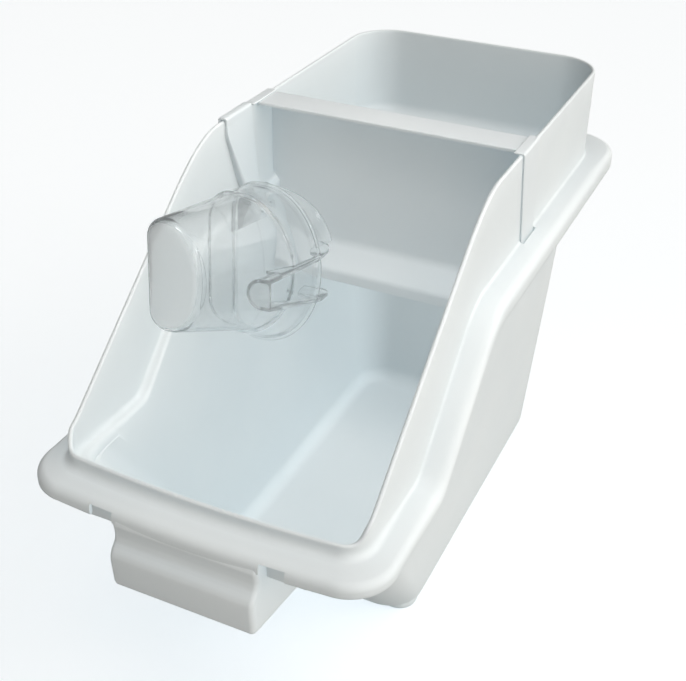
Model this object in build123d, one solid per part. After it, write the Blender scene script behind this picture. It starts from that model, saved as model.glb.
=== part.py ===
from build123d import *
import os

# Slant-front feed and ingredient bin: a moulded tub, a drop-in divider, a hook and a clear scoop.
# Frame: +Z up, the slanted mouth faces -Y, origin on the floor at the centre of the base. Units: mm.

# Tub heights and walls
TOP_Z = 401.8            # level rim above the floor
FRONT_RIM_Z = 231.5      # rim at the low front
SHELF_Z = 318.0          # flange top along the high rear part
FRONT_SHELF_Z = 220.5    # flange top along the low front part
WALL = 3.0
RIM_WALL = 3.7
FLANGE_DROP = 20.0       # height of the rolled flange from its top to its lip
FLANGE_DROP_FRONT = 13.5
FLANGE_ROLL = 6.0        # roll radius of the flange's outer edge

# Tub plan
COLLAR_HALF_X = 123.7
COLLAR_REAR_Y = 213.9
COLLAR_FRONT_Y = -344.0
COLLAR_BOW = 4.5         # how far the front rim bows forward
COLLAR_R = 42.0          # rear corners
COLLAR_FRONT_R = 20.0
FLANGE_HALF_X = 145.0
FLANGE_REAR_Y = 248.0
FLANGE_FRONT_Y = -367.5
FLANGE_REAR_R = 45.0
FLANGE_FRONT_R = 36.0

# Tapered body under the flange
BASE_HALF_X = 99.0
BASE_REAR_Y = 174.0
BASE_FRONT_Y = -167.0
BASE_R = 32.0
BODY_HALF_X = 117.5      # at SHELF_Z
BODY_FRONT_HALF_X = 114.0    # at FRONT_SHELF_Z
BODY_REAR_Y = 196.0      # at SHELF_Z
BODY_FRONT_Y = -343.5    # at FRONT_SHELF_Z
BODY_R = 44.0
BASE_EDGE_R = 16.0
FOOT_H = 12.0
FOOT_R = 17.0
FOOT_INSET = 20.0

# Side profile of the rim and of the flange, as (y, z)
RIM_SHOULDER = ((-95.0, TOP_Z), (-167.4, 366.4))
RIM_SLOPE = (-0.78, -0.625)    # direction of the straight descent
RIM_NOSE = ((-317.0, 246.5), (-325.5, 243.0), (-333.5, FRONT_RIM_Z))
RIM_BLEND_R = 7.0
SHELF_BEND_Y = (-138.0, -241.0)    # top and foot of the flange's slope
SHELF_BEND_R = (50.0, 16.0)

# Pull block under the front lip
PULL_HALF_X = 59.0
PULL_FRONT_Y = -375.0
PULL_REAR_Y = -270.0
PULL_BOTTOM_Z = (154.5, 138.0)    # lower edge at the front and at the rear
PULL_TOP_Z = 211.0
RIDGE_Z = 173.0
# Finger recess, as (distance behind the ridge, height)
RECESS = ((7.2, PULL_TOP_Z), (8.4, 200.0), (8.5, 191.0), (4.2, 183.0), (0.6, 177.0))
WEB_X = 90.0             # short webs beside the block, behind the notches
WEB_Y = -352.0
WEB_LOW_Z = 195.0
NOTCH_X = (59.3, 78.7)   # gap in the front lip beside the block, both sides
NOTCH_TOP_Z = 216.5
NOTCH_DEPTH = 18.0
NOTCH_H = 24.0

# Divider: a bridge bar over both rims with a hanging baffle
BAR_REAR_Y = -4.5
BAR_FRONT_Y = -35.2
BAR_THICK = 3.0
SADDLE_THICK = 2.6       # how far its ends stand above the rims they sit on
SADDLE_LAP = 4.0
LEG_THICK = 2.6
LEG_SLOT_DEPTH = 6.0     # pocket in the flange that takes the foot of a leg
LEG_INTO_SLOT = 4.0
SADDLE_FRONT_Y = -45.0
LEG_LOW_Y = (-27.0, 5.0)    # front and rear of a leg's foot; the legs lean back
SLOT_GAP = 1.0
FIT_GAP = 0.4
BAFFLE_THICK = 2.6
BAFFLE_HALF_X = 119.3
BAFFLE_LOW_HALF_X = 113.2
BAFFLE_FOOT_HALF_X = 109.8
BAFFLE_STEP_Z = (326.0, 319.5)
BAFFLE_BEND_Z = 268.0
BAFFLE_KICK = 20.0
BAFFLE_LIP = 9.5

# Scoop hook over the left rim
HOOK_FRONT_Y = -88.0
HOOK_REAR_Y = -46.0
HOOK_LOW_FRONT_Y = -57.0
HOOK_LOW_REAR_Y = -37.0
HOOK_NARROW_REAR_Y = -45.0
HOOK_THICK = 2.2
HOOK_LOW_Z = 303.0
HOOK_FLARE_H = (12.0, 30.0)    # where the rear foot starts and ends above the lower end
HOOK_LEG = 13.0          # outside leg that grips the rim
HOOK_STAND_OFF = 10.5    # gap from the collar wall to the shank at its lower end
HOOK_SIDE_LOW_Z = 321.5  # the channel's sides stop above the tub's inner ledge
TONGUE_WIDTH = 13.0
TONGUE_LENGTH = 22.0
TONGUE_THICK = 2.6
TONGUE_Y = -47.0
TONGUE_LEAN = 25.0       # degrees from vertical

# Clear scoop, in its own frame: x across from its flat side, y along it to the mouth, z up
SCOOP_WALL = 2.4
SCOOP_AT = (-106.0, -236.0, 334.8)
SCOOP_DIP = 9.7          # degrees the axis falls towards the mouth
SCOOP_ROLL = 3.4
# each section: distance along the axis, width, height, drop of its middle, flat-side corner radius
SCOOP_END = (0.0, 48.0, 89.0, 0.0, 15.5)
SCOOP_SHOULDER = (93.0, 78.0, 116.0, 14.0, 22.0)
SCOOP_MOUTH = (135.0, 81.0, 136.0, 25.5, 23.0)
SCOOP_ROUND = 0.65       # share of the width taken by the round side
ROUND_POINT = (0.72, 0.69)     # point on the round side, as shares of its width and half height
DIAGONAL = 0.7071
SHOULDER_STEP = 1.4
END_ROUNDING = ((0.0, 6.0), (1.8, 2.6), (6.5, 0.0))    # how far along, how much smaller
HANDLE_FRONT = 41.0      # web, measured along the axis
HANDLE_REAR = 153.0
HANDLE_OUT = 85.0        # how far the plates stand from the flat side
HANDLE_UPPER = (-4.0, -7.0)    # height of the upper plate at the web and at the mouth
HANDLE_LOWER = (-29.0, -48.0)
HANDLE_CORNER_R = 9.0
PLATE = 2.6
TAB_END = 197.0
TAB_LOW = 0.0
TAB_HIGH = 30.0
TAB_CORNER_R = 8.0
TAB_SLOT = (9.0, 15.0, 13.5)
TAB_SLOT_AT = (-105.0, TONGUE_Y, 317.0)
TAB_ROOT = 8.0           # how far the tab runs forward onto the cup
GRIP_ROOT = 0.9          # share of the end width where the grip starts, inside the cup wall

STANDING = (Align.CENTER, Align.CENTER, Align.MIN)
HANGING = (Align.CENTER, Align.CENTER, Align.MAX)

# Construction limits well outside the tub
FAR_REAR = 300.0
FAR_FRONT = -460.0
FAR_BELOW = -60.0
FAR_ABOVE = 450.0
FAR_SIDE = 200.0


def rounded_plan(half_x, front_y, rear_y, front_r, rear_r, bow=0.0):
    """A rounded rectangle on the XY plane whose front side may bow forward."""
    left_rear = (-half_x, rear_y)
    right_rear = (half_x, rear_y)
    right_front = (half_x, front_y + bow)
    left_front = (-half_x, front_y + bow)
    sides = Polyline(left_front, left_rear, right_rear, right_front)
    if bow:
        front = ThreePointArc(right_front, (0, front_y), left_front)
    else:
        front = Line(right_front, left_front)
    plan = make_face(Curve() + [sides, front])
    plan = fillet(plan.vertices().sort_by(Axis.Y)[:2], front_r)
    return fillet(plan.vertices().sort_by(Axis.Y)[-2:], rear_r)


def side_prism(outline, half_x=FAR_SIDE):
    """Extrude a closed outline of the YZ plane to both sides of the middle plane."""
    face = Plane.YZ * make_face(outline)
    return extrude(face, half_x, both=True)


def under(lines):
    """Everything under lines of the YZ plane that run from behind the tub to in front of it."""
    rear_z = lines[0].position_at(0).Y
    front_z = lines[-1].position_at(1).Y
    base = Polyline((FAR_FRONT, front_z), (FAR_FRONT, FAR_BELOW), (FAR_REAR, FAR_BELOW), (FAR_REAR, rear_z))
    return side_prism(Curve() + lines + [base])


def below_shelf(drop=0.0, front_drop=None):
    """Everything under the flange line, lowered by drop behind and by front_drop at the front."""
    front_drop = drop if front_drop is None else front_drop
    high_z = SHELF_Z - drop
    low_z = FRONT_SHELF_Z - front_drop
    high_y, low_y = SHELF_BEND_Y
    points = [(FAR_REAR, high_z), (high_y, high_z), (low_y, low_z), (FAR_FRONT, low_z)]
    return under([FilletPolyline(*points, radius=SHELF_BEND_R)])


def below_rim():
    """Everything under the sloping rim line."""
    start, shoulder_end = RIM_SHOULDER
    level = Line((FAR_REAR, TOP_Z), start)
    shoulder = Spline(start, shoulder_end, tangents=[(-1, 0), RIM_SLOPE])
    descent = FilletPolyline(shoulder_end, *RIM_NOSE, (FAR_FRONT, FRONT_RIM_Z), radius=RIM_BLEND_R)
    return under([level, shoulder, descent])


def body_block(inset):
    """The tapered lower body, a frustum between the base and the flange level, inset by a wall."""
    front_run = (BASE_FRONT_Y - BODY_FRONT_Y) / FRONT_SHELF_Z
    slant_inset = inset * (1 + front_run ** 2) ** 0.5
    levels = []
    for z, half in ((inset, BASE_HALF_X), (FRONT_SHELF_Z, BODY_FRONT_HALF_X), (SHELF_Z + 5, BODY_HALF_X)):
        share = z / SHELF_Z
        half_x = half - inset
        rear_y = BASE_REAR_Y + (BODY_REAR_Y - BASE_REAR_Y) * share - inset
        front_y = BASE_FRONT_Y - front_run * z + slant_inset
        radius = BASE_R + (BODY_R - BASE_R) * share - inset
        levels.append(Pos(0, 0, z) * rounded_plan(half_x, front_y, rear_y, radius, radius))
    block = loft(Sketch() + levels, ruled=True)
    base_edges = block.edges().group_by(Axis.Z)[0]
    return fillet(base_edges, BASE_EDGE_R - inset / 2)


def flange_plan(inset=0.0):
    """Outer outline of the flange."""
    return rounded_plan(FLANGE_HALF_X - inset, FLANGE_FRONT_Y + inset, FLANGE_REAR_Y - inset,
                        FLANGE_FRONT_R - inset, FLANGE_REAR_R - inset, COLLAR_BOW)


def flange_band():
    """Rolled band along the flange line: it follows the slope and drops to a short lip."""
    def strip(inset, front_bottom, bottom):
        blank = extrude(flange_plan(inset), FAR_ABOVE) & below_shelf(inset)
        return blank - below_shelf(bottom, front_bottom)

    band = strip(0, FLANGE_DROP_FRONT, FLANGE_DROP)
    side_edges = band.faces().filter_by(lambda f: abs(f.normal_at().Z) < 0.05).edges()
    top_edges = band.faces().filter_by(lambda f: f.normal_at().Z > 0.3).edges()
    rim_edges = top_edges.filter_by(lambda e: any(e.is_same(other) for other in side_edges))
    band = fillet(rim_edges, FLANGE_ROLL)
    return band - strip(WALL, FLANGE_DROP_FRONT + WALL, FLANGE_DROP + WALL)


def pull_block():
    """Grip under the front lip: a shallow finger recess over a rounded ridge, open underneath."""
    def outline(inset):
        front = PULL_FRONT_Y + inset
        recess = [(front + depth, z) for depth, z in RECESS]
        face = Spline(*recess, (front, RIDGE_Z), tangents=[(0.1, -1), (0, -1)])
        front_low, rear_low = PULL_BOTTOM_Z
        low = FilletPolyline((front, RIDGE_Z), (front + 1.5, front_low), (PULL_REAR_Y, rear_low), radius=6)
        back = Polyline((PULL_REAR_Y, rear_low), (PULL_REAR_Y, PULL_TOP_Z), recess[0])
        return Curve() + [face, low, back]

    block = side_prism(outline(0), PULL_HALF_X)
    sides = block.edges().filter_by(lambda e: abs(abs(e.center().X) - PULL_HALF_X) < 0.1)
    block = fillet(sides.filter_by(lambda e: e.center().Y < PULL_FRONT_Y + 12), 3.0)
    hollow = side_prism(outline(WALL), PULL_HALF_X - WALL)
    return block - Pos(0, 0, -WALL) * hollow - hollow


def tub():
    """One moulding: sloping collar, rolled flange, tapered body, corner feet and pull block."""
    plan = rounded_plan(COLLAR_HALF_X, COLLAR_FRONT_Y, COLLAR_REAR_Y, COLLAR_FRONT_R, COLLAR_R, COLLAR_BOW)
    bore_plan = offset(plan, -RIM_WALL)
    collar = (extrude(plan, FAR_ABOVE) & below_rim()) - below_shelf(1.0)
    collar_bore = extrude(bore_plan, FAR_ABOVE) - below_shelf(0)
    body = body_block(0) & below_shelf(1.0)
    body_bore = body_block(WALL) & below_shelf(-1.0)
    feet = [Pos(side * (BASE_HALF_X - FOOT_INSET), y, 0) * Cylinder(FOOT_R, FOOT_H, align=STANDING)
            for side in (-1, 1) for y in (BASE_FRONT_Y + FOOT_INSET, BASE_REAR_Y - FOOT_INSET)]
    shell = body + feet + flange_band() + collar - body_bore - collar_bore
    shell += pull_block() - body_block(WALL / 2)
    notch = Box(NOTCH_X[1] - NOTCH_X[0], NOTCH_DEPTH, NOTCH_H, align=HANGING)
    slot = Box(LEG_THICK + 2 * SLOT_GAP, LEG_LOW_Y[1] - LEG_LOW_Y[0] + 2 * SLOT_GAP, 2 * LEG_SLOT_DEPTH)
    slot_x = COLLAR_HALF_X + FIT_GAP + LEG_THICK / 2
    for side in (-1, 1):
        shell -= Pos(side * (NOTCH_X[0] + NOTCH_X[1]) / 2, FLANGE_FRONT_Y, NOTCH_TOP_Z) * notch
        shell -= Pos(side * slot_x, sum(LEG_LOW_Y) / 2, SHELF_Z) * slot
        web = Box(WEB_X - PULL_HALF_X + WALL, WALL, FRONT_SHELF_Z - WALL / 2 - WEB_LOW_Z, align=STANDING)
        shell += Pos(side * (WEB_X + PULL_HALF_X - WALL) / 2, WEB_Y, WEB_LOW_Z) * web
    return shell


def divider():
    """Bridge bar over the rims, legs down the outside walls, and a baffle that kicks forward."""
    depth = BAR_REAR_Y - BAR_FRONT_Y
    middle_y = (BAR_REAR_Y + BAR_FRONT_Y) / 2
    inner_x = COLLAR_HALF_X - RIM_WALL - FIT_GAP
    outer_x = COLLAR_HALF_X + FIT_GAP
    saddle_x = (inner_x + outer_x + LEG_THICK - SADDLE_LAP) / 2
    saddle_z = TOP_Z + SADDLE_THICK
    leg_low = SHELF_Z - LEG_INTO_SLOT
    bar = Pos(0, middle_y, TOP_Z - BAR_THICK / 2) * Box(2 * inner_x, depth, BAR_THICK)
    leg_side = Polyline((SADDLE_FRONT_Y, saddle_z), (LEG_LOW_Y[0], leg_low), (LEG_LOW_Y[1], leg_low),
                        (BAR_REAR_Y, saddle_z), close=True)
    bar += side_prism(leg_side, outer_x + LEG_THICK) - side_prism(leg_side, outer_x)
    saddle = Box(outer_x - inner_x + LEG_THICK + SADDLE_LAP, BAR_REAR_Y - SADDLE_FRONT_Y, SADDLE_THICK)
    for side in (-1, 1):
        bar += Pos(side * saddle_x, (BAR_REAR_Y + SADDLE_FRONT_Y) / 2, saddle_z - SADDLE_THICK / 2) * saddle
    rear = BAR_REAR_Y
    front = BAR_REAR_Y - BAFFLE_THICK
    top_z = TOP_Z - BAR_THICK / 2
    kick_z = BAFFLE_BEND_Z - BAFFLE_KICK
    foot_z = kick_z - BAFFLE_LIP
    rear_line = [(rear, top_z), (rear, BAFFLE_BEND_Z), (rear - BAFFLE_KICK, kick_z),
                 (rear - BAFFLE_KICK, foot_z)]
    front_line = [(front - BAFFLE_KICK, foot_z), (front - BAFFLE_KICK, kick_z + 1),
                  (front, BAFFLE_BEND_Z + 1), (front, top_z)]
    right = [(BAFFLE_HALF_X, TOP_Z), (BAFFLE_HALF_X, BAFFLE_STEP_Z[0]),
             (BAFFLE_LOW_HALF_X, BAFFLE_STEP_Z[1]), (BAFFLE_FOOT_HALF_X, foot_z)]
    left = [(-x, z) for x, z in reversed(right)]
    outline = Polyline(*right, *left, close=True)
    sheet = extrude(Plane.XZ * make_face(outline), FAR_SIDE, both=True)
    return bar + (side_prism(Polyline(*rear_line, *front_line, close=True)) & sheet)


def hook_blank(inset):
    """Side view of the hook as a slab: wide over the rim, narrowing down, flared at the rear foot."""
    top_z = TOP_Z + 10
    leg_z = TOP_Z - HOOK_LEG - 1
    front = [(HOOK_FRONT_Y + inset, top_z), (HOOK_FRONT_Y + inset, leg_z),
             (HOOK_LOW_FRONT_Y + inset, HOOK_LOW_Z - 1)]
    rear = [(HOOK_LOW_REAR_Y - inset, HOOK_LOW_Z - 1),
            (HOOK_LOW_REAR_Y - inset, HOOK_LOW_Z + HOOK_FLARE_H[0]),
            (HOOK_NARROW_REAR_Y - inset, HOOK_LOW_Z + HOOK_FLARE_H[1]), (HOOK_REAR_Y - inset, leg_z),
            (HOOK_REAR_Y - inset, top_z)]
    return side_prism(Polyline(*front, *rear, close=True))


def hook():
    """Clip over the left rim: narrowing channel shank inside the wall with a leaning tongue."""
    wall_x = -COLLAR_HALF_X
    out_x = wall_x - FIT_GAP - HOOK_THICK
    in_x = wall_x + RIM_WALL + FIT_GAP
    top_z = TOP_Z + FIT_GAP + HOOK_THICK
    low_x = wall_x + RIM_WALL + HOOK_STAND_OFF
    shank_z = TOP_Z - 5
    section = Polyline((out_x, TOP_Z - HOOK_LEG), (out_x, top_z), (in_x + HOOK_THICK, top_z),
                       (in_x + HOOK_THICK, shank_z), (low_x, HOOK_LOW_Z), (low_x - HOOK_THICK, HOOK_LOW_Z),
                       (in_x, shank_z), (in_x, TOP_Z + FIT_GAP), (out_x + HOOK_THICK, TOP_Z + FIT_GAP),
                       (out_x + HOOK_THICK, TOP_Z - HOOK_LEG), (out_x, TOP_Z - HOOK_LEG))
    clip = extrude(Plane.XZ * make_face(section), FAR_SIDE, both=True) & hook_blank(0)
    side_x = in_x + (shank_z - HOOK_SIDE_LOW_Z) / (shank_z - HOOK_LOW_Z) * (low_x - HOOK_THICK - in_x)
    side = Polyline((in_x, shank_z), (side_x + HOOK_THICK / 2, HOOK_SIDE_LOW_Z),
                    (in_x + 1, HOOK_SIDE_LOW_Z), close=True)
    sides = extrude(Plane.XZ * make_face(side), FAR_SIDE, both=True) & hook_blank(0)
    clip += sides - hook_blank(HOOK_THICK)
    tongue = Box(TONGUE_THICK, TONGUE_WIDTH, TONGUE_LENGTH, align=STANDING)
    root = Pos(low_x - HOOK_THICK / 2, TONGUE_Y, HOOK_LOW_Z + 2)
    return clip + root * Rot(0, TONGUE_LEAN, 0) * tongue


def section_sketch(station, grow=0.0, ahead=0.0):
    """D-shaped section with a flat side at x = 0 and an elliptical far side."""
    along, width, height, drop, corner = station
    width += grow
    half = height / 2 + grow
    corner += grow
    round_x = SCOOP_ROUND * (width + grow)
    centre_x = width - round_x
    flat_x = corner - grow
    point_x = centre_x + ROUND_POINT[0] * round_x
    point_z = ROUND_POINT[1] * half
    corner_x = flat_x - corner * DIAGONAL
    corner_z = half - corner * (1 - DIAGONAL)
    round_points = [(centre_x, -half), (point_x, -point_z), (width, 0), (point_x, point_z), (centre_x, half)]
    round_side = Spline(*round_points, tangents=[(1, 0), (-1, 0)])
    upper = Line((centre_x, half), (flat_x, half))
    upper_corner = ThreePointArc((flat_x, half), (corner_x, corner_z), (-grow, half - corner))
    flat = Line((-grow, half - corner), (-grow, corner - half))
    lower_corner = ThreePointArc((-grow, corner - half), (corner_x, -corner_z), (flat_x, -half))
    lower = Line((flat_x, -half), (centre_x, -half))
    outline = Curve() + [round_side, upper, upper_corner, flat, lower_corner, lower]
    section = Plane.XZ * make_face(outline)
    return Pos(0, along + ahead, -drop) * section


def scoop():
    """Tapered D-section cup with a shoulder, a channel grip on its round side and a hanging tab."""
    stretched = (SCOOP_MOUTH[0] + 1,) + SCOOP_MOUTH[1:]
    rounding = [section_sketch(SCOOP_END, -shrink, ahead) for ahead, shrink in END_ROUNDING]
    cup = loft(rounding + [section_sketch(SCOOP_SHOULDER)], ruled=True)
    flare = loft([section_sketch(SCOOP_SHOULDER, SHOULDER_STEP), section_sketch(SCOOP_MOUTH)], ruled=True)
    bore_steps = [section_sketch(SCOOP_END, -shrink - SCOOP_WALL, ahead + SCOOP_WALL)
                  for ahead, shrink in END_ROUNDING]
    cup_bore = loft(bore_steps + [section_sketch(SCOOP_SHOULDER, -SCOOP_WALL)], ruled=True)
    flare_bore = loft([section_sketch(SCOOP_SHOULDER, -SCOOP_WALL), section_sketch(stretched, -SCOOP_WALL)],
                      ruled=True)
    bore = cup_bore + flare_bore
    plates = []
    for front_z, rear_z in (HANDLE_UPPER, HANDLE_LOWER):
        strip = Polyline((HANDLE_FRONT, front_z), (HANDLE_REAR, rear_z), (HANDLE_REAR, rear_z - PLATE),
                         (HANDLE_FRONT, front_z - PLATE), (HANDLE_FRONT, front_z))
        plates.append(side_prism(strip))
    web = Polyline((HANDLE_FRONT, HANDLE_UPPER[0]), (HANDLE_FRONT + PLATE, HANDLE_UPPER[0]),
                   (HANDLE_FRONT + PLATE, HANDLE_LOWER[0] - PLATE), (HANDLE_FRONT, HANDLE_LOWER[0] - PLATE),
                   (HANDLE_FRONT, HANDLE_UPPER[0]))
    plates.append(side_prism(web))
    inner_x = SCOOP_END[1] * GRIP_ROOT
    reach = Pos((inner_x + HANDLE_OUT) / 2, (HANDLE_FRONT + HANDLE_REAR) / 2, 0)
    blank = reach * Box(HANDLE_OUT - inner_x, HANDLE_REAR - HANDLE_FRONT, FAR_SIDE)
    blank = fillet(blank.edges().filter_by(Axis.Z).sort_by(Axis.Y)[-2:], HANDLE_CORNER_R)
    grip = (plates[0] + plates[1] + plates[2]) & blank
    shell = cup + flare + grip - bore
    tab = Pos(SCOOP_WALL / 2, (SCOOP_MOUTH[0] - TAB_ROOT + TAB_END) / 2, (TAB_LOW + TAB_HIGH) / 2)
    tab *= Box(SCOOP_WALL, TAB_END - SCOOP_MOUTH[0] + TAB_ROOT, TAB_HIGH - TAB_LOW)
    tab = fillet(tab.edges().filter_by(Axis.X).sort_by(Axis.Y)[-2:], TAB_CORNER_R)
    shell += tab
    placed = Pos(*SCOOP_AT) * Rot(-SCOOP_DIP, 0, 0) * Rot(0, -SCOOP_ROLL, 0) * shell
    return placed - Pos(*TAB_SLOT_AT) * Box(*TAB_SLOT)


def export():
    os.makedirs("parts", exist_ok=True)
    export_step(tub(), "parts/bin_body.step")
    export_step(divider(), "parts/divider.step")
    export_step(hook(), "parts/scoop_hook.step")
    export_step(scoop(), "parts/scoop.step")


export()
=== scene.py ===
import bmesh
import bpy
import math
import numpy as np
from mathutils import Matrix, Vector


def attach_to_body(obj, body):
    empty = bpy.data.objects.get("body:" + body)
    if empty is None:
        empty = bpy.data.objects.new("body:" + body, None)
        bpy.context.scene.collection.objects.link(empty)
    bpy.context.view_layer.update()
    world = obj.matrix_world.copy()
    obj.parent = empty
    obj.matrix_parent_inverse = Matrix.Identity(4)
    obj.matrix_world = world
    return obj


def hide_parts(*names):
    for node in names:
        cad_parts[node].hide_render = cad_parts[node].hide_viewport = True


# Looks of the slant-front feed bin: tub, divider, scoop hook and clear scoop. Shapes are worked out in
# millimetres and turned into metres when a mesh is made. The origin is on the floor under the tub,
# the mouth faces -Y and X points right.
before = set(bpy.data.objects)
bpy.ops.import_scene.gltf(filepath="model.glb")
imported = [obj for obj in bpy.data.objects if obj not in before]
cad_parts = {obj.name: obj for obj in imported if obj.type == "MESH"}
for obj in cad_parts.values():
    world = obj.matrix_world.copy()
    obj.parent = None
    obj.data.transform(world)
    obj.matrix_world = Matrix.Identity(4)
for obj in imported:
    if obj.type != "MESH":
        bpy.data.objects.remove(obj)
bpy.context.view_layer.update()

MM = 0.001

# Camera, in metres and degrees
CAMERA_TARGET = Vector((-0.017, -0.070, 0.206))
CAMERA_AZIMUTH, CAMERA_ELEVATION, CAMERA_ROLL = 24.8, 32.3, 0.9
CAMERA_DISTANCE, CAMERA_LENS, CAMERA_NEAR = 1.013, 59.0, 0.05

# World light: how it grows along each axis, its middle value and its least value
LIGHT_SLOPE, LIGHT_MEAN, LIGHT_LEAST = (1.16, 0.12, 0.36), 0.345, 0.05
TINT_BELOW, TINT_ABOVE = (1.0, 0.99, 0.965, 1), (0.94, 0.98, 1.0, 1)
# Floor: half its side in metres, its colour as a reflector and to the camera, and its glow there
FLOOR_REACH, FLOOR_GLOW = 6, 0.34
FLOOR_REFLECTS, FLOOR_SEEN = (0.54, 0.54, 0.53, 1), (0.95, 0.95, 0.95, 1)
# Plastics: colour of the light that soaks through, share of the clear one that is plainly open, and how
# deep the frosted end face reaches along the cup in metres
THROUGH_COLOUR, SEE_THROUGH_SHARE, END_FACE_DEPTH = (0.92, 0.97, 1.0, 1), 0.12, 0.0012
# Area lights: name, place, target, side, power in watts, spread in degrees
AREA_LIGHTS = (
    ("right_key", (1.5, -0.1, 1.1), (0, -0.05, 0.2), 0.24, 1.6, 180.0),
    ("top", (-0.2, 0.2, 1.9), (0, -0.05, 0.2), 0.24, 0.9, 180.0),
    ("mouth", (0.08, -0.4, 0.95), (0, -0.02, 0), 0.35, 0.13, 38.0),
    ("front", (-0.7, -1.3, 1.0), (-0.05, -0.2, 0.3), 0.2, 0.6, 180.0))

# Tub heights and walls
TOP_Z, FRONT_RIM_Z = 401.8, 231.5
SHELF_Z, FRONT_SHELF_Z = 318.0, 220.5
WALL, RIM_WALL = 3.0, 3.7
# Rim: y at the top and foot of its shoulder, height at the foot, fall of the straight run, low front
SHOULDER_TOP_Y, SHOULDER_FOOT_Y, SHOULDER_FOOT_Z = -95.0, -167.4, 366.4
RIM_FALL = 0.801
RIM_NOSE = ((-333.5, FRONT_RIM_Z), (-325.5, 243.0), (-317.0, 246.5))
NOSE_REACH = 4.0
# Flange top: y and reach of its front and rear bend, and y values beyond both ends of the tub
FRONT_BEND, REAR_BEND = (-241.0, 7.0), (-138.0, 20.0)
PAST_FRONT, PAST_REAR = -460.0, 300.0
# Tub plans: half width, front, rear, front corner, rear corner
COLLAR = (123.7, -344.0, 213.9, 20.0, 42.0)
COLLAR_BOW = 4.5
FLANGE = (145.0, -367.5, 248.0, 36.0, 45.0)
# Places along the sides, closer together where the rim slopes, and points per corner and per end
SIDE_YS = np.concatenate([np.arange(148, -60, -11.0), np.arange(-60, -317, -4.0)])
CORNER_STEPS, END_STEPS = 18, 14


def smooth(t):
    """0 to 1 with level ends."""
    t = min(max(t, 0.0), 1.0)
    return t * t * (3 - 2 * t)


def bent_line(points, reach):
    """z at y along a polyline whose bends are rounded by parabolas reaching that far each side."""
    pts = sorted(points)

    def height(y):
        k = max(i for i in range(len(pts) - 1) if i == 0 or y >= pts[i][0])
        slopes = [(pts[i + 1][1] - pts[i][1]) / (pts[i + 1][0] - pts[i][0]) for i in range(len(pts) - 1)]
        z = pts[k][1] + slopes[k] * (y - pts[k][0])
        for i in range(1, len(pts) - 1):
            d = y - pts[i][0]
            r = reach[i - 1]
            if abs(d) < r:
                z += (slopes[i] - slopes[i - 1]) * (r - abs(d)) ** 2 / (4 * r)
        return z
    return height


def rim_line(y):
    """Height of the rim: level behind, an easy shoulder, a straight descent and a low front."""
    if y >= SHOULDER_TOP_Y:
        return TOP_Z
    if y >= SHOULDER_FOOT_Y:
        run = SHOULDER_TOP_Y - SHOULDER_FOOT_Y
        t = (SHOULDER_TOP_Y - y) / run
        return TOP_Z + (SHOULDER_FOOT_Z - TOP_Z) * smooth(t) + RIM_FALL * run * t * t * (1 - t)
    points = [(PAST_FRONT, FRONT_RIM_Z), *RIM_NOSE, (SHOULDER_FOOT_Y, SHOULDER_FOOT_Z)]
    return bent_line(points, [NOSE_REACH] * len(RIM_NOSE))(y)


def shelf_line(drop=0.0, front_drop=None):
    """Line of the flange top lowered by drop, or at its low front by front_drop when that is given."""
    front_drop = drop if front_drop is None else front_drop
    low, high = FRONT_SHELF_Z - front_drop, SHELF_Z - drop
    points = [(PAST_FRONT, low), (FRONT_BEND[0], low), (REAR_BEND[0], high), (PAST_REAR, high)]
    return bent_line(points, (FRONT_BEND[1], REAR_BEND[1]))


def mirrored(right):
    """Closed loop from its right half, which runs from the rear middle to the front middle."""
    left = right[-2:0:-1].copy()
    left[:, 0] *= -1
    return np.vstack([right, left])


def plan_loop(half, front, rear, front_r, rear_r, bow, side_ys):
    """Rounded outline seen from above, with side points at the given distances along it."""
    pts = []
    for x in np.linspace(0, half - rear_r, END_STEPS, endpoint=False):
        pts.append((x, rear))
    for a in np.linspace(90, 0, CORNER_STEPS):
        pts.append((half - rear_r + rear_r * math.cos(math.radians(a)),
                    rear - rear_r + rear_r * math.sin(math.radians(a))))
    for y in side_ys:
        pts.append((half, y))
    for a in np.linspace(0, -90, CORNER_STEPS):
        pts.append((half - front_r + front_r * math.cos(math.radians(a)),
                    front + bow + front_r + front_r * math.sin(math.radians(a))))
    flat = half - front_r
    for x in np.linspace(flat, 0, END_STEPS + 1)[1:]:
        pts.append((x, front + bow * (x / flat) ** 2))
    return mirrored(np.array(pts))


def collar_plan(inset=0.0):
    """Outline of the collar, moved in by the inset."""
    half, front, rear, front_r, rear_r = COLLAR
    return plan_loop(half - inset, front + inset, rear - inset, front_r - inset, rear_r - inset,
                     COLLAR_BOW, SIDE_YS)


def flange_plan():
    """Outline of the flange's outer edge."""
    return plan_loop(*FLANGE, COLLAR_BOW, SIDE_YS)


def with_z(plan, line, lift=0.0):
    """The plan put on a line of heights; lift may differ from point to point."""
    return np.column_stack([plan[:, :2], [line(y) for y in plan[:, 1]] + np.zeros(len(plan)) + lift])


def toward(outer, inner, distance):
    """The outer plan moved that far towards the inner plan, point by point."""
    step = inner - outer
    return outer + step * (distance / np.linalg.norm(step, axis=1))[:, None]


# Tapered body under the flange: base half width, front, rear and corner; half widths going up
BASE_HALF, BASE_FRONT, BASE_REAR, BASE_CORNER = 99.0, -167.0, 174.0, 32.0
BODY_LEVELS, BODY_HALVES = (0, FRONT_SHELF_Z, SHELF_Z + 5), (BASE_HALF, 114.0, 117.5)
BODY_TOP_FRONT = -343.5
FRONT_RUN = (BASE_FRONT - BODY_TOP_FRONT) / FRONT_SHELF_Z
REAR_RUN, CORNER_GROWTH = 22.0, 12.0
SIDE_START, SIDE_SPAN = 0.02, 0.96
# Side points in front of this y are drawn together by this share
PACK_Y, PACK_SHARE = -270.0, 0.47
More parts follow.
